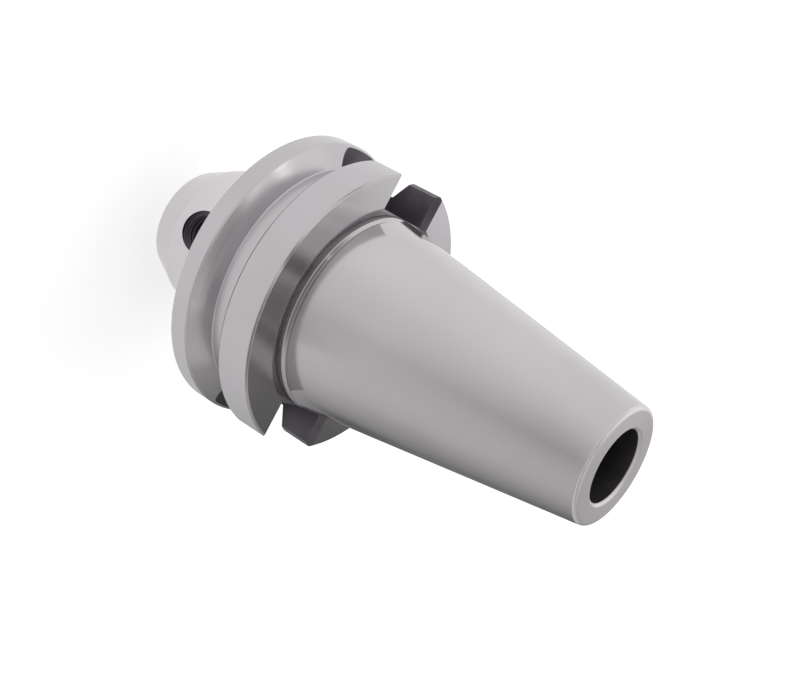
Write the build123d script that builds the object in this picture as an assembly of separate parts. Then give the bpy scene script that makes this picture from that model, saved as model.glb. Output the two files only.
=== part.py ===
from build123d import *
import math
import os

# Side lock end mill holder with a size 50 steep taper.
# All sizes are in millimetres. The Z axis is the axis of rotation. Its zero is the gauge plane,
# where the taper has its nominal diameter. The taper points up and the nose points down.

# Steep taper that seats in the machine spindle
gauge_diameter = 69.85
taper_ratio = 7 / 24  # loss of diameter for each unit of length
taper_length = 101.8
taper_end_break = 0.9

# Relief behind the large end of the taper, where the grinding wheel runs out
relief_length = 0.9  # from the gauge plane to the bottom of the small groove
relief_depth = 0.55
collar_offset = 2.4  # from the gauge plane down to the collar's edge
collar_diameter = 70.6
face_undercut_depth = 2.2
face_undercut_width = 3.6
face_undercut_floor_diameter = 69.8
face_undercut_radius = 1.2

# Flange with the gripper groove
flange_diameter = 100.0
flange_rear_offset = 3.0
flange_front_offset = 38.0
flange_edge_break = 0.6
groove_centre_offset = 23.2
groove_mouth_width = 15.0
groove_depth = 7.5  # from the rim to the groove's floor
groove_flank_angle = 30.0  # from the plane of the flange
groove_edge_break = 0.25

# Two key slots in the flange, opposite each other
slot_width = 25.7
slot_floor_distance = 35.4  # from the holder's axis
slot_end_offset = 30.2
slot_corner_radius = 4.0
slot_lead_chamfer = 2.0
slot_edge_break = 0.9

# Nose that holds the cutter
nose_diameter = 50.0
gauge_length = 80.0
nose_cone_length = 12.2
nose_cone_angle = 25.2  # from the holder's axis
nose_end_break = 0.5
nose_root_radius = 5.0

# Bore for the cutter's shank
tool_bore_diameter = 18.0
tool_bore_depth = 60.0
tool_bore_chamfer = 1.0
channel_diameter = 10.0
drill_point_angle = 59.0  # half of the drill's point angle

# Threaded hole for the pull stud
pilot_diameter = 25.0
pilot_depth = 13.0
pilot_chamfer = 0.8
stud_core_diameter = 20.8
stud_core_depth = 62.0
stud_thread_chamfer = 1.5

# Side lock screw and its hole. Threads are plain cylinders at their pitch diameter.
screw_distance_from_face = 23.0
screw_pitch_diameter = 12.7
screw_radial_clearance = 0.05
screw_length = 10.0
screw_tip_to_bore = 0.2  # the tip stands this far outside the bore's wall at rest
screw_end_chamfer = 1.0
screw_mouth_diameter = 15.0
screw_mouth_depth = 1.4  # below the nose's crown
socket_across_flats = 6.0
socket_depth = 5.5
socket_chamfer = 0.4

overcut = 5.0  # how far a cutting tool runs past the surface it starts from


def radius_at(height):
    """Radius of the steep taper at a height above the gauge plane."""
    return gauge_diameter / 2 - height * taper_ratio / 2


def outer_outline():
    """Half section of the outside, as points (radius, height) from the top down."""
    flank_run = groove_depth * math.tan(math.radians(groove_flank_angle))
    mouth_top = -groove_centre_offset + groove_mouth_width / 2
    mouth_bottom = -groove_centre_offset - groove_mouth_width / 2
    break_run = groove_edge_break * math.tan(math.radians(groove_flank_angle))
    rim = flange_diameter / 2
    floor = rim - groove_depth
    nose = nose_diameter / 2
    collar = collar_diameter / 2
    undercut_floor = face_undercut_floor_diameter / 2
    undercut_bottom = -flange_rear_offset - face_undercut_depth
    cone_top = -gauge_length + nose_cone_length
    cone_drop = nose_cone_length - nose_end_break
    cone_end = nose - cone_drop * math.tan(math.radians(nose_cone_angle))
    return [
        (0, taper_length),
        (radius_at(taper_length) - taper_end_break, taper_length),
        (radius_at(taper_length - taper_end_break), taper_length - taper_end_break),
        (radius_at(0), 0),
        (gauge_diameter / 2 - relief_depth, -relief_length),
        (collar, -collar_offset),
        (undercut_floor, undercut_bottom),
        (undercut_floor + face_undercut_width, -flange_rear_offset),
        (rim - flange_edge_break, -flange_rear_offset),
        (rim, -flange_rear_offset - flange_edge_break),
        (rim, mouth_top + groove_edge_break),
        (rim - groove_edge_break, mouth_top - break_run),
        (floor, mouth_top - flank_run),
        (floor, mouth_bottom + flank_run),
        (rim - groove_edge_break, mouth_bottom + break_run),
        (rim, mouth_bottom - groove_edge_break),
        (rim, -flange_front_offset + flange_edge_break),
        (rim - flange_edge_break, -flange_front_offset),
        (nose, -flange_front_offset),
        (nose, cone_top),
        (cone_end, -gauge_length + nose_end_break),
        (cone_end - nose_end_break, -gauge_length),
        (0, -gauge_length),
    ]


def rounded(outline, corner, radius):
    """The outline with the corner nearest to a point rounded off."""
    vertex = outline.vertices().sort_by_distance((corner[0], corner[1], 0))[0]
    return fillet(vertex, radius)


def turned(outline):
    """Turns a flat outline of (radius, height) about the holder's axis."""
    return revolve(Plane.XZ * outline, Axis.Z)


def turned_outside():
    outline = make_face(Polyline(*outer_outline(), close=True))
    nose_root = (nose_diameter / 2, -flange_front_offset)
    outline = rounded(outline, nose_root, nose_root_radius)
    undercut_root = (face_undercut_floor_diameter / 2, -flange_rear_offset - face_undercut_depth)
    outline = rounded(outline, undercut_root, face_undercut_radius)
    return turned(outline)


def turned_bores():
    """Everything bored along the axis: cutter bore, channel, stud thread and pilot."""
    tool = tool_bore_diameter / 2
    channel = channel_diameter / 2
    core = stud_core_diameter / 2
    pilot = pilot_diameter / 2
    point_slope = math.tan(math.radians(90 - drill_point_angle))
    tool_top = -gauge_length + tool_bore_depth
    core_bottom = taper_length - stud_core_depth
    pilot_bottom = taper_length - pilot_depth
    points = [
        (0, -gauge_length - overcut),
        (tool + tool_bore_chamfer + overcut, -gauge_length - overcut),
        (tool, -gauge_length + tool_bore_chamfer),
        (tool, tool_top),
        (channel, tool_top + (tool - channel) * point_slope),
        (channel, core_bottom - (core - channel) * point_slope),
        (core, core_bottom),
        (core, pilot_bottom - stud_thread_chamfer),
        (core + stud_thread_chamfer, pilot_bottom),
        (pilot, pilot_bottom),
        (pilot, taper_length - pilot_chamfer),
        (pilot + pilot_chamfer + overcut, taper_length + overcut),
        (0, taper_length + overcut),
    ]
    return turned(make_face(Polyline(*points, close=True)))


def slot_cutter():
    """The material milled out of the flange for the key slot on the +X side."""
    half = slot_width / 2
    top = -flange_rear_offset
    end = -slot_end_offset
    lead = slot_lead_chamfer
    across = [
        (-half, end),
        (half, end),
        (half, top - lead),
        (half + lead + overcut, top + overcut),
        (-half - lead - overcut, top + overcut),
        (-half, top - lead),
    ]
    shape = make_face(Polyline(*across, close=True))
    for side in (-1, 1):
        shape = rounded(shape, (side * half, end), slot_corner_radius)
    reach = flange_diameter / 2 + overcut - slot_floor_distance
    # The flat shape is drawn across Y and Z, and then pushed outwards along X.
    wall_plane = Plane(origin=(slot_floor_distance, 0, 0), x_dir=(0, 1, 0), z_dir=(1, 0, 0))
    slot = extrude(wall_plane * shape, reach)
    return slot + edge_break_cutter()


def edge_break_cutter():
    """Bevels the long edges between the slot's walls and the flange's rim."""
    half = slot_width / 2
    rim_at_wall = math.sqrt((flange_diameter / 2) ** 2 - half**2)
    start = rim_at_wall - slot_edge_break
    spread = half + slot_edge_break + overcut
    flare = [
        (start, -half),
        (start, half),
        (start + slot_edge_break + overcut, spread),
        (start + slot_edge_break + overcut, -spread),
    ]
    shape = make_face(Polyline(*flare, close=True))
    height = slot_end_offset - slot_corner_radius - flange_rear_offset
    return Pos(0, 0, -flange_rear_offset - height) * extrude(shape, height)


def across_nose(solid):
    """Stands a solid made along +Z on the holder's axis, pointing out of the nose along -Y."""
    height = -gauge_length + screw_distance_from_face
    return Plane(origin=(0, 0, height), x_dir=(1, 0, 0), z_dir=(0, -1, 0)) * solid


def screw_hole_cutter():
    """The tapped hole for the side lock screw, from the holder's axis outwards."""
    thread = screw_pitch_diameter / 2 + screw_radial_clearance
    mouth = screw_mouth_diameter / 2
    mouth_floor = nose_diameter / 2 - screw_mouth_depth
    points = [
        (0, 0),
        (thread, 0),
        (thread, mouth_floor - (mouth - thread)),
        (mouth, mouth_floor),
        (mouth, nose_diameter / 2 + overcut),
        (0, nose_diameter / 2 + overcut),
    ]
    return across_nose(turned(make_face(Polyline(*points, close=True))))


def holder_body():
    body = turned_outside() - turned_bores()
    for angle in (0, 180):
        body -= Rot(0, 0, angle) * slot_cutter()
    return body - screw_hole_cutter()


def side_lock_screw():
    """Headless screw with a hexagon socket in its outer end and a flat tip."""
    radius = screw_pitch_diameter / 2
    tip = tool_bore_diameter / 2 + screw_tip_to_bore
    outer = tip + screw_length
    points = [
        (0, tip),
        (radius - screw_end_chamfer, tip),
        (radius, tip + screw_end_chamfer),
        (radius, outer - screw_end_chamfer),
        (radius - screw_end_chamfer, outer),
        (0, outer),
    ]
    screw = turned(make_face(Polyline(*points, close=True)))
    corner_radius = socket_across_flats / math.sqrt(3)
    hexagon = RegularPolygon(corner_radius, 6, rotation=30)
    screw -= Pos(0, 0, outer - socket_depth) * extrude(hexagon, socket_depth + overcut)
    lead = Cone(corner_radius, corner_radius + 2 * socket_chamfer, 2 * socket_chamfer)
    screw -= Pos(0, 0, outer) * lead
    return across_nose(screw)


pieces = {
    "holder_body": holder_body(),
    "side_lock_screw": side_lock_screw(),
}

os.makedirs("parts", exist_ok=True)
for name, shape in pieces.items():
    export_step(shape, f"parts/{name}.step")
    size = shape.bounding_box().size
    print(f"{name}: {shape.volume / 1000:.1f} cm3, {size.X:.1f} x {size.Y:.1f} x {size.Z:.1f} mm")
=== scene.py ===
# %% [markdown]
# # Side lock end mill holder
#
# This holder carries a milling cutter in the spindle of a machine. Its long steep taper seats in
# the spindle, two keys of the spindle drive the black slots in its flange, a tool changer grips
# the groove round the flange, and a screw in the side of the nose presses on the flat of the
# cutter's shank.
#
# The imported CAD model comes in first, as a frame that nothing moves. Every shape below is made in
# metres in that frame: Z is the axis of the holder, with its zero in the gauge plane where the
# taper meets the flange, the taper points up, and the lock screw looks out towards -Y.

import math

import bmesh
import bpy
from mathutils import Matrix, Quaternion, Vector


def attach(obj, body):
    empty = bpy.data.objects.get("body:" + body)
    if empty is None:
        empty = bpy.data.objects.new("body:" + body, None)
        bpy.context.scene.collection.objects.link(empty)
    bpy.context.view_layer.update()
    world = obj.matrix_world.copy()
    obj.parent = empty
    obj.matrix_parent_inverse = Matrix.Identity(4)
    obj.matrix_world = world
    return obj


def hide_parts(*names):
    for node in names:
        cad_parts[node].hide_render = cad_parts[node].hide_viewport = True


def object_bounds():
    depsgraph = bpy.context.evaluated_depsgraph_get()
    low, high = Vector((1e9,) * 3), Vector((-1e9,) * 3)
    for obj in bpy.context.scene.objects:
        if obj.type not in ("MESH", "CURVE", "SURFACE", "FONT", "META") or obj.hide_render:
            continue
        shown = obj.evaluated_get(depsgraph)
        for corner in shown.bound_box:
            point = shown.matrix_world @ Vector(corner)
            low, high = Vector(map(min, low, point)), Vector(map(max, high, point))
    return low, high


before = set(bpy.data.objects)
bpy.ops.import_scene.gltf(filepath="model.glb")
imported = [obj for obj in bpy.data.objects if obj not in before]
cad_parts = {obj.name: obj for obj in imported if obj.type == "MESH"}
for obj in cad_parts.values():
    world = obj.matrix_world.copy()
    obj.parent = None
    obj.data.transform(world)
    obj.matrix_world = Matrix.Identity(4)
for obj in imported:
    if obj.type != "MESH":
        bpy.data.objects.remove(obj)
cad_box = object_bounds()
MM = 0.001
print("CAD box in mm:", [[round(value / MM, 1) for value in corner] for corner in cad_box])

# %% [markdown]
# ## Camera
#
# The camera comes before the shapes, so that every later choice can be judged in the same
# picture. A lens with a long focal length keeps the far end of the holder from looking small. The
# camera looks down on the holder and is rolled on its side, so the taper runs to the lower right
# of the picture although the holder stands on its nose.

# %% Place the camera
CAMERA_PLACE = Vector((-0.03188, -0.40720, 0.24910))
AIM_POINT = Vector((-0.00124, 0.00784, 0.01366))
ROLL_DEGREES = 120.125
LENS_MM, SENSOR_MM = 64.195, 36.0

camera_data = bpy.data.cameras.new("camera")
camera_data.lens = LENS_MM
camera_data.sensor_width = SENSOR_MM
camera_data.sensor_fit = "HORIZONTAL"
camera_data.clip_start, camera_data.clip_end = 0.01, 50.0
camera = bpy.data.objects.new("camera", camera_data)
bpy.context.scene.collection.objects.link(camera)
camera.location = CAMERA_PLACE
camera.rotation_mode = "QUATERNION"
level = (AIM_POINT - CAMERA_PLACE).to_track_quat("-Z", "Y")
camera.rotation_quaternion = level @ Quaternion((0, 0, 1), math.radians(ROLL_DEGREES))
bpy.context.scene.camera = camera
print("camera to aim point:", round((AIM_POINT - CAMERA_PLACE).length / MM), "mm")

# %% [markdown]
# ## Tools for turned shapes
#
# A holder is made on a lathe, so most of it is one outline turned about an axis. Two helpers do
# the same here. The first draws an outline of corners, each with its radius, its height and how
# far it is rounded: a vertex bevel rounds a corner of a wire just as it rounds a corner of a
# face. The second spins the outline a full turn, merges the seam and turns the normals outwards.

# %% Outline and spin
TURN_STEPS, SMALL_TURN_STEPS, ROUNDING_STEPS = 288, 96, 6
SAME_POINT = 0.0001 * MM


def new_piece(name, bm):
    """Puts a finished bmesh into the scene as an object that stays at the origin."""
    mesh = bpy.data.meshes.new(name)
    bmesh.ops.recalc_face_normals(bm, faces=bm.faces)
    bm.to_mesh(mesh)
    bm.free()
    piece = bpy.data.objects.new(name, mesh)
    bpy.context.scene.collection.objects.link(piece)
    return piece


def draw_outline(bm, corners, plane):
    """A closed wire. Each corner is (first, second, rounding) in mm; plane gives its 3-D point."""
    verts = [bm.verts.new(Vector(plane(first, second)) * MM) for first, second, _ in corners]
    for start, end in zip(verts, verts[1:] + verts[:1]):
        bm.edges.new((start, end))
    for vert, (_, _, rounding) in zip(verts, corners):
        if rounding:
            bmesh.ops.bevel(
                bm, geom=[vert], affect="VERTICES", offset=rounding * MM, offset_type="OFFSET",
                segments=ROUNDING_STEPS, profile=0.5, material=-1, clamp_overlap=True,
            )


def turned(name, corners, steps=TURN_STEPS):
    """Turns an outline of (radius, height, rounding) about the Z axis."""
    bm = bmesh.new()
    draw_outline(bm, corners, lambda radius, height: (radius, 0, height))
    bmesh.ops.spin(
        bm, geom=bm.verts[:] + bm.edges[:], cent=(0, 0, 0), axis=(0, 0, 1), dvec=(0, 0, 0),
        angle=2 * math.pi, steps=steps, use_merge=True, use_duplicate=False,
    )
    bmesh.ops.remove_doubles(bm, verts=bm.verts, dist=SAME_POINT)
    return new_piece(name, bm)


print("one step of a turned outline:", 360 / TURN_STEPS, "degrees")

# %% [markdown]
# ## Cutting one solid with another
#
# Slots, holes and threads are cut the way a workshop cuts them: a solid with the shape of the
# cutting tool takes its own volume away. A Boolean modifier does the cut, and its result is kept
# as the new mesh, so nothing live is left on the piece. The faces of a cut keep the slot number
# of the tool's material, which is how the key slots turn black while the rim round them stays
# bright.

# %% Boolean helper
def combine(piece, tool, operation="DIFFERENCE"):
    """Cuts or joins with a closed tool, keeps the result and removes the tool."""
    modifier = piece.modifiers.new("cut", "BOOLEAN")
    modifier.operation = operation
    modifier.solver = "EXACT"
    modifier.object = tool
    bpy.context.view_layer.update()
    finished = piece.evaluated_get(bpy.context.evaluated_depsgraph_get())
    result = bpy.data.meshes.new_from_object(finished)
    piece.modifiers.clear()
    piece.data = result
    tool_mesh = tool.data
    bpy.data.objects.remove(tool)
    bpy.data.meshes.remove(tool_mesh)
    print(piece.name, "after", operation.lower(), "has", len(result.polygons), "faces")


def placed(piece, matrix):
    """Moves a piece's mesh, so that its object stays at the origin."""
    piece.data.transform(matrix)
    return piece


# %% [markdown]
# ## The holder's turned outline
#
# The outside runs from the small end of the taper down to the nose. The taper narrows by 7 in 24,
# which is steep enough to let go of the spindle by itself. Under its large end a narrow relief
# gives the grinding wheel room to run out, and an undercut keeps the flange's face flat up to its
# corner. The groove in the flange has flanks at 60 degrees to each other. The inside has a bore
# for the cutter, a drilled channel, the core hole of the pull stud's thread and the pilot bore
# that centres the stud. Every corner gets its own rounding, because a real edge always shows as a
# thin line of light or dark.

# %% Sizes of the outside in millimetres
GAUGE_RADIUS, TAPER_LENGTH, TAPER_SLOPE = 69.85 / 2, 101.8, 7 / 48
RELIEF_TOP, RELIEF_BOTTOM, RELIEF_DEPTH = -0.35, -1.3, 0.48
COLLAR_RADIUS, COLLAR_TOP = 35.3, -2.4
UNDERCUT_RADIUS, UNDERCUT_FLOOR, UNDERCUT_EDGE = 34.9, -5.2, 38.5
FLANGE_RADIUS, FLANGE_REAR, FLANGE_FRONT, RIM_BREAK = 50.0, -3.0, -38.0, 0.6
GROOVE_CENTRE, GROOVE_HALF, GROOVE_FLOOR, GROOVE_BREAK = -23.2, 7.5, 42.5, 0.45
NOSE_RADIUS, NOSE_END, NOSE_BREAK = 25.0, -80.0, 0.5
CONE_TOP, CONE_END = -67.8, 19.495

FLANK_SLOPE = math.tan(math.radians(30))
FLANK_RUN = (FLANGE_RADIUS - GROOVE_FLOOR) * FLANK_SLOPE
BREAK_RUN = GROOVE_BREAK * FLANK_SLOPE
SMALL_RADIUS = GAUGE_RADIUS - TAPER_LENGTH * TAPER_SLOPE
print("small end of the taper:", round(2 * SMALL_RADIUS, 2), "mm across")

# %% Sizes of the inside in millimetres
CUTTER_RADIUS, CUTTER_TOP, CUTTER_BREAK = 9.0, -20.0, 1.0
CHANNEL_RADIUS, CHANNEL_BOTTOM, CHANNEL_TOP = 5.0, -17.6, 36.55
CORE_RADIUS, CORE_BOTTOM, CORE_TOP = 10.376, 39.8, 87.3
LEAD_RADIUS, PILOT_RADIUS, PILOT_BOTTOM, PILOT_BREAK = 11.9, 12.5, 88.8, 0.8
print("pilot bore:", round(TAPER_LENGTH - PILOT_BOTTOM, 1), "mm deep")

# %% Turn the blank
outside = [
    (SMALL_RADIUS, TAPER_LENGTH, 1.3),
    (GAUGE_RADIUS + 0.05, RELIEF_TOP, 0.1),
    (GAUGE_RADIUS - RELIEF_DEPTH, RELIEF_BOTTOM, 0.2),
    (COLLAR_RADIUS, COLLAR_TOP, 0.25),
    (UNDERCUT_RADIUS, UNDERCUT_FLOOR, 0.35),
    (UNDERCUT_EDGE, FLANGE_REAR, 0.25),
    (FLANGE_RADIUS - RIM_BREAK, FLANGE_REAR, 0.12),
    (FLANGE_RADIUS, FLANGE_REAR - RIM_BREAK, 0.12),
    (FLANGE_RADIUS, GROOVE_CENTRE + GROOVE_HALF + GROOVE_BREAK, 0.06),
    (FLANGE_RADIUS - GROOVE_BREAK, GROOVE_CENTRE + GROOVE_HALF - BREAK_RUN, 0.06),
    (GROOVE_FLOOR, GROOVE_CENTRE + GROOVE_HALF - FLANK_RUN, 0.3),
    (GROOVE_FLOOR, GROOVE_CENTRE - GROOVE_HALF + FLANK_RUN, 0.3),
    (FLANGE_RADIUS - GROOVE_BREAK, GROOVE_CENTRE - GROOVE_HALF + BREAK_RUN, 0.06),
    (FLANGE_RADIUS, GROOVE_CENTRE - GROOVE_HALF - GROOVE_BREAK, 0.06),
    (FLANGE_RADIUS, FLANGE_FRONT + RIM_BREAK, 0.12),
    (FLANGE_RADIUS - RIM_BREAK, FLANGE_FRONT, 0.12),
    (NOSE_RADIUS, FLANGE_FRONT, 5.0),
    (NOSE_RADIUS, CONE_TOP, 0.3),
    (CONE_END, NOSE_END + NOSE_BREAK, 0.12),
    (CONE_END - NOSE_BREAK, NOSE_END, 0.12),
]
inside = [
    (CUTTER_RADIUS + CUTTER_BREAK, NOSE_END, 0.1),
    (CUTTER_RADIUS, NOSE_END + CUTTER_BREAK, 0.1),
    (CUTTER_RADIUS, CUTTER_TOP, 0),
    (CHANNEL_RADIUS, CHANNEL_BOTTOM, 0),
    (CHANNEL_RADIUS, CHANNEL_TOP, 0),
    (CORE_RADIUS, CORE_BOTTOM, 0),
    (CORE_RADIUS, CORE_TOP, 0),
    (LEAD_RADIUS, PILOT_BOTTOM, 0),
    (PILOT_RADIUS, PILOT_BOTTOM, 0.2),
    (PILOT_RADIUS, TAPER_LENGTH - PILOT_BREAK, 0.3),
    (PILOT_RADIUS + PILOT_BREAK, TAPER_LENGTH, 0.3),
]
holder = turned("holder", outside + inside)
print("holder blank:", len(holder.data.polygons), "faces")

# %% [markdown]
# ## Finishes and painted shade by zone
#
# One piece of steel gets several finishes: the taper is ground fine, the flange a little coarser,
# the nose is satin, and the small end is only turned, so it is the dullest. The key slots stay dark
# from hardening, because no grinding wheel reaches them. The inside of the stud's bore and the root
# corner of the undercut are painted dark as painted shade, in the bore and in the crease. Each zone
# is a material slot. The faces of the blank get their slot here, from where their middles lie, and
# each cutting tool brings the slot of its own cut with it later.

# %% Zones of the blank
ZONES = (
    "ground_taper", "ground_flange", "satin_nose", "blackened_slots_and_corner_shade",
    "bore_painted_shade", "screw_hole_painted_shade", "worn_edge", "turned_end",
)
TAPER_ZONE, FLANGE_ZONE, NOSE_ZONE, BLACK_ZONE, BORE_SHADE_ZONE, HOLE_SHADE_ZONE, EDGE_ZONE, END_ZONE = range(8)
SMALL_END_HEIGHT, PILOT_EDGE_HEIGHT = 1.6, 0.7
TAPER_ZONE_RADIUS, NOSE_FACE_RADIUS, BORE_MARGIN = 37, 15, 0.02
# The root corner of the undercut is painted black as painted shade in the crease.
UNDERCUT_SHADE_CORNER = ((34.8, 35.35), (-5.6, -5.0))  # radii and heights

zone_materials = [bpy.data.materials.new(name) for name in ZONES]
for zone_material in zone_materials:
    holder.data.materials.append(zone_material)


def zone_at(radius, height):
    """The zone of a face of the blank, from its middle's radius and height in mm."""
    bore_top = TAPER_LENGTH - PILOT_EDGE_HEIGHT
    # The inside of the stud's bore is painted dark as painted shade.
    if radius < PILOT_RADIUS + BORE_MARGIN and CUTTER_TOP < height < bore_top:
        return BORE_SHADE_ZONE
    if all(low < size < high for size, (low, high) in zip((radius, height), UNDERCUT_SHADE_CORNER)):
        return BLACK_ZONE
    if height > TAPER_LENGTH - SMALL_END_HEIGHT:
        return END_ZONE
    if height > FLANGE_REAR and radius < TAPER_ZONE_RADIUS:
        return TAPER_ZONE
    if height < FLANGE_FRONT or radius < NOSE_FACE_RADIUS:
        return NOSE_ZONE
    return FLANGE_ZONE


for face in holder.data.polygons:
    middle = face.center / MM
    face.material_index = zone_at(math.hypot(middle.x, middle.y), middle.z)
counts = dict.fromkeys(ZONES, 0)
for face in holder.data.polygons:
    counts[ZONES[face.material_index]] += 1
print("faces of each zone:", counts)

# %% [markdown]
# ## Key slots
#
# The spindle's two keys drive the holder through these slots. A milling cutter makes each slot,
# so its end has rounded corners. The tool's shape is drawn across the slot and pushed outwards:
# the corners get a vertex bevel, the wire is filled, and the face is extruded. The slot opens
# with a 45 degree lead at the rear face of the flange, and stays black there. A second tool
# bevels the edges where the slot's walls meet the rim. Keys rub along them, so they get a finish
# between black and bright.

# %% Extruded tools
REACH = 5.0  # how far a tool runs past the surface that it cuts


def pushed(name, corners, plane, push, zone):
    """Fills a flat outline and extrudes it to a closed tool. push is a vector in mm."""
    bm = bmesh.new()
    draw_outline(bm, corners, plane)
    bmesh.ops.edgeloop_fill(bm, edges=bm.edges)
    wall = bmesh.ops.extrude_face_region(bm, geom=bm.faces[:])
    far = [item for item in wall["geom"] if isinstance(item, bmesh.types.BMVert)]
    bmesh.ops.translate(bm, verts=far, vec=Vector(push) * MM)
    for face in bm.faces:
        face.material_index = zone
    return new_piece(name, bm)


# %% Cut the key slots
SLOT_HALF, SLOT_FLOOR, SLOT_END, SLOT_LEAD = 12.85, 35.4, -30.2, 2.0
SLOT_CORNER, EDGE_BEVEL = 4.0, 1.4


def slot_tool():
    """The slot on the +X side, with its rounded end and its lead."""
    wide = SLOT_HALF + SLOT_LEAD + REACH
    corners = [
        (-SLOT_HALF, SLOT_END, SLOT_CORNER), (SLOT_HALF, SLOT_END, SLOT_CORNER),
        (SLOT_HALF, FLANGE_REAR - SLOT_LEAD, 0), (wide, FLANGE_REAR + REACH, 0),
        (-wide, FLANGE_REAR + REACH, 0), (-SLOT_HALF, FLANGE_REAR - SLOT_LEAD, 0),
    ]
    outwards = (FLANGE_RADIUS + REACH - SLOT_FLOOR, 0, 0)
    return pushed("slot_tool", corners, lambda y, z: (SLOT_FLOOR, y, z), outwards, BLACK_ZONE)


def bevel_tool():
    """A flare that bevels both long edges of the same slot."""
    start = math.sqrt(FLANGE_RADIUS**2 - SLOT_HALF**2) - EDGE_BEVEL
    end, wide = start + EDGE_BEVEL + REACH, SLOT_HALF + EDGE_BEVEL + REACH
    corners = [(start, -SLOT_HALF, 0), (start, SLOT_HALF, 0), (end, wide, 0), (end, -wide, 0)]
    bottom = SLOT_END + SLOT_CORNER
    upwards = (0, 0, FLANGE_REAR - bottom)
    return pushed("bevel_tool", corners, lambda x, y: (x, y, bottom), upwards, EDGE_ZONE)


for half_turn in (0, math.pi):
    for make_tool in (slot_tool, bevel_tool):
        combine(holder, placed(make_tool(), Matrix.Rotation(half_turn, 4, "Z")))

# %% [markdown]
# ## Threads
#
# A thread is one profile that turns and climbs. A full spin with a little lift at every step
# sweeps one pitch of the profile along the helix, and merging the doubles joins each turn to the
# next. Two cuts with a plane make flat ends, and filling them closes the rod. Such a rod is a
# screw when it is kept and a tap when it is cut away, and both start from the same height, so
# that the screw's ridges lie in the grooves of its hole.

# %% Threaded rod
THREAD_STEPS = 48
ROOT_END, CREST_START, CREST_END = 0.25, 0.5625, 0.6875  # shares of the pitch
SAME_TURN_POINT = 0.001 * MM


def threaded_rod(name, major, minor, pitch, bottom, top, zone):
    """A solid thread about Z from bottom to top. Its radii, pitch and heights are in mm."""
    bm = bmesh.new()
    turns = math.ceil((top - bottom) / pitch) + 2
    first = (math.floor(bottom / pitch) - 1) * pitch
    profile = [
        (minor, 0), (minor, ROOT_END), (major, CREST_START), (major, CREST_END), (minor, 1),
    ]
    verts = [
        bm.verts.new(Vector((radius, 0, first + share * pitch)) * MM) for radius, share in profile
    ]
    edges = [bm.edges.new(pair) for pair in zip(verts, verts[1:])]
    bmesh.ops.spin(
        bm, geom=verts + edges, cent=(0, 0, 0), axis=(0, 0, 1),
        dvec=(0, 0, pitch * MM / THREAD_STEPS), angle=2 * math.pi * turns,
        steps=THREAD_STEPS * turns, use_merge=False, use_duplicate=False,
    )
    bmesh.ops.remove_doubles(bm, verts=bm.verts, dist=SAME_TURN_POINT)
    for height, side in ((bottom, -1), (top, 1)):
        bmesh.ops.bisect_plane(
            bm, geom=bm.verts[:] + bm.edges[:] + bm.faces[:], dist=SAME_POINT,
            plane_co=(0, 0, height * MM), plane_no=(0, 0, side), clear_outer=True,
        )
    rims = [edge for edge in bm.edges if edge.is_boundary]
    bmesh.ops.holes_fill(bm, edges=rims, sides=0)
    for face in bm.faces:
        face.material_index = zone
    open_edges = sum(1 for edge in bm.edges if not edge.is_manifold)
    print(name, "has", len(bm.faces), "faces and", open_edges, "open edges")
    return new_piece(name, bm)


# %% Cut the pull stud's thread
# The tap gives the stud's thread the bore's painted shade colour.
stud_tap = threaded_rod(
    "stud_tap", major=12.0, minor=CORE_RADIUS, pitch=3.0, bottom=45.0, top=89.5, zone=BORE_SHADE_ZONE,
)
combine(holder, stud_tap)

# %% [markdown]
# ## The hole for the lock screw
#
# The hole crosses the nose at a right angle, 23 mm from its end, and opens into the cutter's
# bore. Its mouth is a little wider than the thread, so that the screw starts easily and leaves no
# burr proud of the nose. Light hardly gets in between its turns, so its colour is painted dark: the
# darkest colour of the holder is painted shade. The tools are made along Z and then laid over so
# that they point along -Y.

# %% Cut the screw hole
SCREW_HEIGHT, SCREW_PITCH = NOSE_END + 23.0, 2.0
LAID_OVER = (
    Matrix.Translation((0, 0, SCREW_HEIGHT * MM)) @ Matrix.Rotation(math.pi / 2, 4, "X")
)
MOUTH_RADIUS, MOUTH_FLOOR, MOUTH_LEAD = 7.5, 23.5, 0.3

mouth = turned("mouth_tool", [
    (0, MOUTH_FLOOR, 0),
    (MOUTH_RADIUS - MOUTH_LEAD, MOUTH_FLOOR, 0),
    (MOUTH_RADIUS, MOUTH_FLOOR + MOUTH_LEAD, 0),
    (MOUTH_RADIUS, NOSE_RADIUS + REACH, 0),
    (0, NOSE_RADIUS + REACH, 0),
], SMALL_TURN_STEPS)
# The mouth's faces take the hole's dark colour, which is painted shade.
for face in mouth.data.polygons:
    face.material_index = HOLE_SHADE_ZONE
combine(holder, placed(mouth, LAID_OVER))

# The tap gives the thread of the hole the same painted shade colour.
screw_tap = threaded_rod(
    "screw_tap", major=7.05, minor=5.95, pitch=SCREW_PITCH, bottom=4.0, top=24.0, zone=HOLE_SHADE_ZONE,
)
combine(holder, placed(screw_tap, LAID_OVER))

# %% [markdown]
# ## The lock screw
#
# The screw has no head, so it can sink into the nose. It is a threaded rod trimmed to a blank
# with 45 degree ends, which removes the sharp first turns as a lathe would. The socket is a six
# sided prism with a cone at its mouth and the drill's point at its bottom. The screw rests a
# little way back from the bore, clear of the cutter's shank.

# %% Make the screw
TIP, SCREW_LENGTH = 9.2, 10.0
OUTER = TIP + SCREW_LENGTH
BLANK_RADIUS, BLANK_CHAMFER, BLANK_ROUNDING = 7.35, 2.0, 0.15
OVERSHOOT = 1.0

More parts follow.
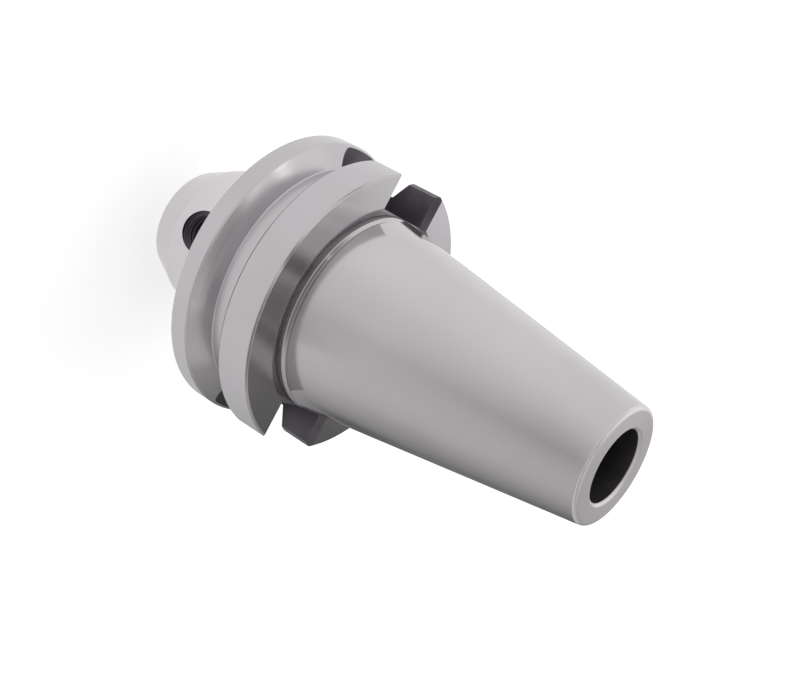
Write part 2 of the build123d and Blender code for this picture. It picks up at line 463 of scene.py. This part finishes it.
screw = threaded_rod(
    "lock_screw", major=6.93, minor=5.82, pitch=SCREW_PITCH,
    bottom=TIP - OVERSHOOT, top=OUTER + OVERSHOOT, zone=0,
)
blank = turned("blank", [
    (0, TIP, 0),
    (BLANK_RADIUS - BLANK_CHAMFER, TIP, BLANK_ROUNDING),
    (BLANK_RADIUS, TIP + BLANK_CHAMFER, 0),
    (BLANK_RADIUS, OUTER - BLANK_CHAMFER, 0),
    (BLANK_RADIUS - BLANK_CHAMFER, OUTER, BLANK_ROUNDING),
    (0, OUTER, 0),
], SMALL_TURN_STEPS)
combine(screw, blank, "INTERSECT")

# %% Cut its socket
KEY_SIZE, SOCKET_DEPTH, SOCKET_LEAD = 6.0, 5.5, 0.4
DRILL_TIP, DRILL_RADIUS, DRILL_POINT, DRILL_OVERLAP = 0.02, 2.9, 1.6, 0.05
HEX_SIDES, CONE_SIDES = 6, 48

HEX_CORNER = KEY_SIZE / math.sqrt(3)
SOCKET_FLOOR = OUTER - SOCKET_DEPTH


def cone_tool(name, sides, low_radius, high_radius, low, high):
    """A closed prism or cone between two heights in mm."""
    bm = bmesh.new()
    bmesh.ops.create_cone(
        bm, cap_ends=True, segments=sides, radius1=low_radius * MM, radius2=high_radius * MM,
        depth=(high - low) * MM, matrix=Matrix.Translation((0, 0, (low + high) / 2 * MM)),
    )
    return new_piece(name, bm)


combine(screw, cone_tool(
    "key_tool", HEX_SIDES, HEX_CORNER, HEX_CORNER, SOCKET_FLOOR, OUTER + OVERSHOOT,
))
combine(screw, cone_tool(
    "lead_tool", CONE_SIDES, HEX_CORNER + SOCKET_LEAD - OVERSHOOT,
    HEX_CORNER + SOCKET_LEAD + OVERSHOOT, OUTER - OVERSHOOT, OUTER + OVERSHOOT,
))
combine(screw, cone_tool(
    "drill_tool", CONE_SIDES, DRILL_TIP, DRILL_RADIUS,
    SOCKET_FLOOR - DRILL_POINT, SOCKET_FLOOR + DRILL_OVERLAP,
))
placed(screw, LAID_OVER)

# %% [markdown]
# ## Shading
#
# Smooth shading hides the facets of the spin, but it would also smear light round real corners.
# Edges over 28 degrees are marked sharp, and a Weighted Normal modifier lets large faces decide
# the normals at their corners, so the narrow rounded edges blend into flat faces without a dark
# smudge.

# %% Smooth the faces
SHARP_DEGREES = 28

for piece in (holder, screw):
    for face in piece.data.polygons:
        face.use_smooth = True
    piece.data.set_sharp_from_angle(angle=math.radians(SHARP_DEGREES))
    weighted = piece.modifiers.new("weighted_normals", "WEIGHTED_NORMAL")
    weighted.keep_sharp = True
    weighted.weight = 100
    print("smooth:", piece.name, "with", len(piece.data.polygons), "faces")

# %% [markdown]
# ## Building materials from nodes
#
# A material is a small network, so a few helpers keep it readable. One adds a node with its
# settings and fills its inputs, from a number or from the output of another node. The others
# stand for the steps that every finish here repeats: noise, its spread over a range, and a mix of
# two colours.

# %% Node helpers
def fill(tree, node, inputs):
    """Fills inputs of a node. Each gets a value, or a link from another node's output."""
    for socket, value in inputs.items():
        if isinstance(value, bpy.types.NodeSocket):
            tree.links.new(value, node.inputs[socket])
        else:
            node.inputs[socket].default_value = value


def node_maker(tree):
    """Returns a function that adds a node, with its settings made before its inputs are filled."""
    def add(kind, inputs=None, **settings):
        node = tree.nodes.new(kind)
        for name, value in settings.items():
            setattr(node, name, value)
        fill(tree, node, inputs or {})
        return node

    return add


def nodes_of(material):
    """Switches a material to nodes and returns its tree, its shader and its node maker."""
    material.use_nodes = True
    tree = material.node_tree
    return tree, tree.nodes["Principled BSDF"], node_maker(tree)


# %% Noise helpers
NOISE_REACH = 0.18  # most of a noise lies this near its middle, which is 0.5


def noise(add, place, scale, detail, roughness):
    """Noise that is alike in all directions."""
    texture = add("ShaderNodeTexNoise", {
        "Vector": place, "Scale": scale, "Detail": detail, "Roughness": roughness,
    }, noise_dimensions="3D")
    return texture.outputs["Fac"]


def spread(add, source, low, high):
    """Maps the middle of a noise to a range of values."""
    ranged = add("ShaderNodeMapRange", {
        "Value": source, "From Min": 0.5 - NOISE_REACH, "From Max": 0.5 + NOISE_REACH,
        "To Min": low, "To Max": high,
    })
    return ranged.outputs["Result"]


def mottled(add, source, dark, light):
    """A colour that wanders between two others with a noise."""
    mix = add("ShaderNodeMix", {
        "Factor": spread(add, source, 0, 1), "A": (*dark, 1), "B": (*light, 1),
    }, data_type="RGBA")
    return mix.outputs["Result"]


# %% [markdown]
# ## Ground steel
#
# Grinding leaves fine lines that run round the axis. On a turned shape such a line has one radius
# and one height, so noise that reads only radius plus height draws rings everywhere: on the
# taper, on the rim and on the flat face of the flange. The rings change the roughness and the
# height a little. The lines also stretch reflections across themselves, which is what anisotropy
# does when its tangent runs round Z. A second, large and soft noise keeps the colour from being
# the same all over.

# %% Steel material
RING_SCALE, RING_DETAIL, RING_ROUGHNESS = 1400, 5, 0.6


def ring_coordinate(add, place):
    """Radius plus height of a point, in metres, from the piece's own coordinates."""
    flat = add("ShaderNodeVectorMath", {0: place, 1: (1, 1, 0)}, operation="MULTIPLY")
    radius = add("ShaderNodeVectorMath", {0: flat.outputs["Vector"]}, operation="LENGTH")
    apart = add("ShaderNodeSeparateXYZ", {0: place})
    total = add("ShaderNodeMath", {
        0: radius.outputs["Value"], 1: apart.outputs["Z"],
    }, operation="ADD")
    return total.outputs["Value"]


def ground_steel(material, dark, light, smooth, rough, anisotropy, line_height):
    """Steel with grinding rings. The two colours and roughnesses are the ends of its variation."""
    tree, shader, add = nodes_of(material)
    place = add("ShaderNodeTexCoord").outputs["Object"]
    lines = add("ShaderNodeTexNoise", {
        "W": ring_coordinate(add, place),
        "Scale": RING_SCALE, "Detail": RING_DETAIL, "Roughness": RING_ROUGHNESS,
    }, noise_dimensions="1D").outputs["Fac"]
    cloud = noise(add, place, scale=30, detail=3, roughness=0.5)
    round_axis = add("ShaderNodeVectorMath", {0: (0, 0, 1), 1: place}, operation="CROSS_PRODUCT")
    bump = add("ShaderNodeBump", {"Strength": 1.0, "Distance": line_height, "Height": lines})
    fill(tree, shader, {
        "Metallic": 1.0,
        "Anisotropic": anisotropy,
        "Anisotropic Rotation": 0.25,
        "Base Color": mottled(add, cloud, dark, light),
        "Roughness": spread(add, lines, smooth, rough),
        "Tangent": round_axis.outputs["Vector"],
        "Normal": bump.outputs["Normal"],
    })
    print(material.name, "has a roughness of", smooth, "to", rough)


# %% Ground, satin and turned finishes
FINE_LINES, FLANGE_LINES, COARSE_LINES = 0.0003 * MM, 0.0004 * MM, 0.0015 * MM

ground_steel(
    zone_materials[TAPER_ZONE], (0.520, 0.498, 0.509), (0.546, 0.526, 0.539),
    smooth=0.11, rough=0.15, anisotropy=0.25, line_height=FINE_LINES,
)
ground_steel(
    zone_materials[FLANGE_ZONE], (0.495, 0.478, 0.493), (0.524, 0.507, 0.524),
    smooth=0.19, rough=0.23, anisotropy=0.45, line_height=FLANGE_LINES,
)
ground_steel(
    zone_materials[NOSE_ZONE], (0.598, 0.580, 0.598), (0.633, 0.615, 0.635),
    smooth=0.30, rough=0.36, anisotropy=0.30, line_height=COARSE_LINES,
)
ground_steel(
    zone_materials[END_ZONE], (0.665, 0.642, 0.660), (0.712, 0.690, 0.711),
    smooth=0.42, rough=0.52, anisotropy=0.20, line_height=COARSE_LINES,
)

# %% [markdown]
# ## Blackened steel and painted shade
#
# Hardening leaves a thin dark skin, and black oxide is a dark skin put on by choice. Both are
# nearly black with a slight cold tone and a dull shine. Fine noise breaks up the shine, because
# such a skin is never quite even. The worn edges of the key slots use the same skin in a lighter
# grey. The same dark steel also colours the stud's bore, the screw hole and the undercut's root
# corner, where its darkness is painted shade.

# %% Dark material
GRAIN_HEIGHT = 0.015 * MM


def dark_skin_and_shade(material, dark, light, smooth, rough):
    """Dark steel: a real dark skin on the slots, worn edges and screw, and painted shade in the
    bores, the screw hole and the undercut's root corner. The two colours and roughnesses are the
    ends of its variation.
    """
    tree, shader, add = nodes_of(material)
    place = add("ShaderNodeTexCoord").outputs["Object"]
    grain = noise(add, place, scale=900, detail=6, roughness=0.6)
    cloud = noise(add, place, scale=90, detail=3, roughness=0.5)
    bump = add("ShaderNodeBump", {"Strength": 0.6, "Distance": GRAIN_HEIGHT, "Height": grain})
    fill(tree, shader, {
        "Metallic": 0.8,
        "Base Color": mottled(add, cloud, dark, light),
        "Roughness": spread(add, grain, smooth, rough),
        "Normal": bump.outputs["Normal"],
    })
    print(material.name, "is dark with a roughness of", smooth, "to", rough)


# %% Slots, bores, worn edges and the screw
black_oxide = bpy.data.materials.new("black_oxide")

# Each row has a material, its darkest and lightest colour, and its least and most roughness.
for dark_material_row in (
    # The black of the slots is their skin; on the undercut's root corner it is painted shade.
    (zone_materials[BLACK_ZONE], (0.094, 0.084, 0.101), (0.140, 0.128, 0.152), 0.35, 0.50),
    # The dark colours of the bore and the screw hole are painted shade.
    (zone_materials[BORE_SHADE_ZONE], (0.078, 0.071, 0.081), (0.128, 0.117, 0.131), 0.40, 0.55),
    (zone_materials[HOLE_SHADE_ZONE], (0.062, 0.056, 0.066), (0.100, 0.091, 0.106), 0.35, 0.50),
    (zone_materials[EDGE_ZONE], (0.150, 0.139, 0.155), (0.225, 0.212, 0.232), 0.35, 0.50),
    (black_oxide, (0.016, 0.016, 0.018), (0.030, 0.030, 0.033), 0.30, 0.45),
):
    dark_skin_and_shade(*dark_material_row)

screw.data.materials.clear()
screw.data.materials.append(black_oxide)
for face in screw.data.polygons:
    face.material_index = 0

# %% [markdown]
# ## Floor and backdrop
#
# The holder stands on its nose on a pale floor that is wide enough to fill the picture. For the
# camera and for reflections a Light Path node mixes some white glow into it, so the floor looks
# white without more light on the holder, and the rest of its colour still takes the shadow. The
# glow grows with the distance, where the lamps no longer reach, so the floor stays white up to
# the horizon.

# %% Floor
FLOOR_HALF = 6.0
NEAR_GLOW, FAR_GLOW = (0.4, 0.53), (1.6, 0.80)  # distance in metres and strength


def sees_backdrop(add):
    """1 for camera, glossy and transmission rays, and 0 for the others."""
    rays = add("ShaderNodeLightPath").outputs
    first = add("ShaderNodeMath", {
        0: rays["Is Camera Ray"], 1: rays["Is Glossy Ray"],
    }, operation="MAXIMUM")
    second = add("ShaderNodeMath", {
        0: first.outputs[0], 1: rays["Is Transmission Ray"],
    }, operation="MAXIMUM")
    return second.outputs[0]


bm = bmesh.new()
bmesh.ops.create_grid(bm, x_segments=1, y_segments=1, size=FLOOR_HALF)
bmesh.ops.translate(bm, verts=bm.verts, vec=(0, 0, cad_box[0].z))
floor = new_piece("floor", bm)
pale = bpy.data.materials.new("pale_floor")
tree, shader, add = nodes_of(pale)
fill(tree, shader, {
    "Base Color": (0.9, 0.9, 0.9, 1), "Roughness": 0.8, "Specular IOR Level": 0.1,
})
place = add("ShaderNodeTexCoord").outputs["Object"]
distance = add("ShaderNodeVectorMath", {0: place}, operation="LENGTH")
strength = add("ShaderNodeMapRange", {
    "Value": distance.outputs["Value"],
    "From Min": NEAR_GLOW[0], "To Min": NEAR_GLOW[1],
    "From Max": FAR_GLOW[0], "To Max": FAR_GLOW[1],
})
share = add("ShaderNodeMath", {
    0: sees_backdrop(add), 1: strength.outputs["Result"],
}, operation="MULTIPLY")
glow = add("ShaderNodeEmission", {"Strength": share.outputs[0]})
both = add("ShaderNodeAddShader", {0: shader.outputs[0], 1: glow.outputs[0]})
fill(tree, tree.nodes["Material Output"], {"Surface": both.outputs[0]})
floor.data.materials.append(pale)
print("floor:", 2 * FLOOR_HALF, "m across")

# %% [markdown]
# ## Studio
#
# Polished metal shows the room, so the room is what gets lit. The walls are white up to a little
# above the horizon and the ceiling is a dim warm grey, which gives the flat faces of the flange
# their darker tone. Large soft lamps on the left give the bright bands of the flange and the
# nose, and a narrow one high up in front lights the thin edges of the flange.

# %% World
WALL_TOP, CEILING_START = 0.12, 0.50
WALL_COLOUR, CEILING_COLOUR = (1, 1, 1, 1), (0.258, 0.250, 0.240, 1)

world = bpy.data.worlds.new("studio")
bpy.context.scene.world = world
world.use_nodes = True
tree = world.node_tree
add = node_maker(tree)
direction = add("ShaderNodeTexCoord").outputs["Generated"]
apart = add("ShaderNodeSeparateXYZ", {0: direction})
rise = add("ShaderNodeMapRange", {
    "Value": apart.outputs["Z"], "From Min": WALL_TOP, "From Max": CEILING_START,
}, interpolation_type="SMOOTHSTEP")
room = add("ShaderNodeMix", {
    "Factor": rise.outputs["Result"], "A": WALL_COLOUR, "B": CEILING_COLOUR,
}, data_type="RGBA")
fill(tree, tree.nodes["Background"], {"Color": room.outputs["Result"], "Strength": 1.0})
print("the ceiling starts", round(math.degrees(math.asin(CEILING_START))), "degrees up")

# %% Lamps
def softbox(name, azimuth, elevation, distance, width, height, brightness):
    """A rectangular lamp aimed at the holder. brightness is how bright its surface looks."""
    data = bpy.data.lights.new(name, "AREA")
    data.shape = "RECTANGLE"
    data.size, data.size_y = width, height
    data.energy = brightness * math.pi * width * height
    lamp = bpy.data.objects.new(name, data)
    bpy.context.scene.collection.objects.link(lamp)
    turn, tilt = math.radians(azimuth), math.radians(elevation)
    away = Vector((
        math.cos(turn) * math.cos(tilt), math.sin(turn) * math.cos(tilt), math.sin(tilt),
    ))
    lamp.location = away * distance
    lamp.rotation_mode = "QUATERNION"
    lamp.rotation_quaternion = (-away).to_track_quat("-Z", "Y")
    lamp.visible_camera = False
    print(name, "has", round(data.energy, 2), "W")


# Each row has azimuth and elevation in degrees, distance, width and height in metres, and how
# bright the lamp looks.
for lamp_row in (
    ("left_back_lamp", 130, 42, 1.4, 1.5, 1.1, 0.88),
    ("left_front_lamp", -160, 55, 1.4, 1.1, 0.8, 0.8),
    ("right_lamp", 26, 52, 1.6, 1.1, 0.9, 0.45),
    ("top_lamp", 90, 86, 1.5, 1.4, 1.0, 0.3),
    ("front_lamp", -58, 63, 1.4, 1.2, 0.30, 1.2),
):
    softbox(*lamp_row)

# %% [markdown]
# ## Glowing cards of painted reflection
#
# Round glowing cards, which only reflections see, paint reflections on the polished steel: one
# lies on the floor round the holder and two stand on its edge as a wall. Their glow changes with
# the direction, which paints the long soft bands along the taper. Their dark sector towards +X and
# +Y is painted shade: the holder's shadow on the floor as the steel would mirror it, which makes
# the taper's right side darker. Near its top the wall fades until it hides nothing, so that it
# leaves no hard line on the steel. Only a short stretch behind the holder stays whole up to its
# top, because the rear face of the flange shows it.

# %% Tones of the cards
# Each tone is a direction in degrees round the Z axis and a grey, where 1 is white.
# The low greys from about 20 to 90 degrees are painted shade: the floor's shadow as the steel
# mirrors it.
FOOT_TONES = [
    (-180, 1.06), (-156, 1.05), (-138, 1.01), (-116, 0.93), (-96, 0.84), (-76, 0.66), (-58, 0.52),
    (-50, 0.58), (-43, 0.80), (-34, 0.81), (-16, 0.74), (4, 0.57), (22, 0.38), (38, 0.15),
    (62, 0.15), (70, 0.20), (78, 0.40), (86, 0.62), (104, 0.66), (120, 0.95), (144, 1.05),
    (164, 1.04), (180, 1.06),
]
LOW_TONES = [
    (-180, 1.06), (-156, 1.05), (-138, 1.01), (-116, 0.92), (-96, 0.85), (-76, 0.72), (-56, 0.745),
    (-36, 0.765), (-16, 0.71), (4, 0.54), (24, 0.39), (44, 0.23), (62, 0.20), (70, 0.23),
    (78, 0.40), (86, 0.66), (104, 0.68), (120, 0.97), (144, 1.06), (164, 1.04), (180, 1.06),
]
HIGH_TONES = [
    (-180, 1.0), (-140, 0.97), (-116, 0.85), (-96, 0.68), (-76, 0.54), (-56, 0.65), (-36, 0.69),
    (-16, 0.66), (4, 0.56), (24, 0.40), (44, 0.25), (60, 0.13), (71, 0.13), (79, 0.38), (92, 0.72),
    (104, 1.0), (180, 1.0),
]
FLOOR_TONES = [
    (-180, 1.0), (-96, 0.98), (-76, 0.97), (-44, 0.96), (-27, 0.94), (-10, 0.87), (8, 0.76),
    (26, 0.62), (44, 0.42), (64, 0.25), (78, 0.30), (86, 0.48), (104, 0.60), (124, 0.97),
    (180, 1.0),
]
FLOOR_EDGE_TONES = [
    (-180, 1.0), (-96, 0.98), (-76, 0.97), (-44, 0.96), (-27, 0.92), (-10, 0.80), (8, 0.62),
    (26, 0.40), (44, 0.26), (64, 0.20), (78, 0.35), (86, 0.65), (104, 0.85), (124, 1.0), (180, 1.0),
]
WHOLE = [(-180, 1.0), (180, 1.0)]
HIGH_COVER = [(-180, 0.0), (44, 0.0), (62, 1.0), (112, 1.0), (124, 0.0), (180, 0.0)]
BRIGHTEST = 1.1  # a ramp's greys end at 1, so tones are divided by this and the glow makes it good
print("darkest card tone:", min(grey for _, grey in FOOT_TONES + LOW_TONES + HIGH_TONES))

# %% Ramps round the circle
def grey_ramp(add, source, tones, brightest):
    """Greys round the circle, as (azimuth in degrees, grey) pairs, over the brightest grey."""
    ramp = add("ShaderNodeValToRGB", {"Fac": source})
    stops = ramp.color_ramp.elements
    while len(stops) < len(tones):
        stops.new(0.5)
    for stop, (azimuth, grey) in zip(stops, tones):
        share = grey / brightest
        stop.position = (azimuth + 180) / 360
        stop.color = (share, share, share, 1)
    return ramp.outputs["Color"]


def faded_ramps(add, source, along, ramps, fade, brightest=1.0):
    """Fades from the first ramp to the second where radius plus height crosses the fade."""
    start, end = fade
    amount = add("ShaderNodeMapRange", {"Value": along, "From Min": start, "From Max": end})
    first, second = (grey_ramp(add, source, tones, brightest) for tones in ramps)
    mix = add("ShaderNodeMix", {
        "Factor": amount.outputs["Result"], "A": first, "B": second,
    }, data_type="RGBA")
    return mix.outputs["Result"]


def share_of_turn(add, place):
    """The direction of a point round the Z axis, from 0 at -180 degrees to 1 at 180."""
    apart = add("ShaderNodeSeparateXYZ", {0: place})
    turn = add("ShaderNodeMath", {
        0: apart.outputs["Y"], 1: apart.outputs["X"],
    }, operation="ARCTAN2")
    share = add("ShaderNodeMapRange", {
        "Value": turn.outputs[0], "From Min": -math.pi, "From Max": math.pi,
    })
    return share.outputs["Result"]


# %% Card maker
def card_material(name, tones, tone_fade, cover, cover_fade):
    """A glow that is clear where the cover is 0."""
    material = bpy.data.materials.new(name)
    tree, shader, add = nodes_of(material)
    tree.nodes.remove(shader)
    place = add("ShaderNodeTexCoord").outputs["Object"]
    around, along = share_of_turn(add, place), ring_coordinate(add, place)
    glow = add("ShaderNodeEmission", {
        "Color": faded_ramps(add, around, along, tones, tone_fade, BRIGHTEST),
        "Strength": BRIGHTEST,
    })
    shown = add("ShaderNodeMixShader", {
        "Fac": faded_ramps(add, around, along, cover, cover_fade),
        1: add("ShaderNodeBsdfTransparent").outputs[0],
        2: glow.outputs[0],
    })
    fill(tree, tree.nodes["Material Output"], {"Surface": shown.outputs[0]})
    return material


def graded_card(name, first, last, tones, tone_fade, cover=(WHOLE, WHOLE), cover_fade=(0, 1)):
    """A round glowing card about the Z axis that only reflections see, and whose glow paints
    reflections.

    Its section runs from first to last, each a radius and a height. tones are its greys and cover
    is how much it hides, each as two ramps round the circle with a fade between them.
    """
    bm = bmesh.new()
    ends = [bm.verts.new((radius, 0, height)) for radius, height in (first, last)]
    rim = bm.edges.new(ends)
    bmesh.ops.spin(
        bm, geom=ends + [rim], cent=(0, 0, 0), axis=(0, 0, 1), dvec=(0, 0, 0),
        angle=2 * math.pi, steps=SMALL_TURN_STEPS, use_merge=True, use_duplicate=False,
    )
    card = new_piece(name, bm)
    card.data.materials.append(card_material(name, tones, tone_fade, cover, cover_fade))
    for rays in ("camera", "shadow", "diffuse", "transmission", "volume_scatter"):
        setattr(card, "visible_" + rays, False)
    print(name, "runs from", first, "to", last)


# %% Place the cards
# Sizes are in metres. A fade is given as radius plus height.
CARD_FOOT, CARD_RADIUS, CARD_JOINT, CARD_TOP = 0.075, 0.20, -0.02, 0.15
CARD_LOW = cad_box[0].z + 0.5 * MM

graded_card(
    "floor_card", (CARD_FOOT, CARD_LOW), (CARD_RADIUS, CARD_LOW),
    tones=(FLOOR_TONES, FLOOR_EDGE_TONES), tone_fade=(0.14 + CARD_LOW, 0.18 + CARD_LOW),
)
graded_card(
    "low_wall_card", (CARD_RADIUS, CARD_LOW), (CARD_RADIUS, CARD_JOINT),
    tones=(FOOT_TONES, LOW_TONES), tone_fade=(CARD_RADIUS - 0.065, CARD_RADIUS - 0.03),
)
graded_card(
    "high_wall_card", (CARD_RADIUS, CARD_JOINT), (CARD_RADIUS, CARD_TOP),
    tones=(LOW_TONES, HIGH_TONES), tone_fade=(CARD_RADIUS - 0.01, CARD_RADIUS + 0.08),
    cover=(WHOLE, HIGH_COVER), cover_fade=(CARD_RADIUS + 0.085, CARD_RADIUS + 0.115),
)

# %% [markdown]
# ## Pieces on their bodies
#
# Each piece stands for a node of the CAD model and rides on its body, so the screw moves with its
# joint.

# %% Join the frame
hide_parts("holder_body")
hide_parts("side_lock_screw")
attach(holder, "holder")
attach(screw, "screw")
bpy.context.scene.view_settings.view_transform = "Standard"
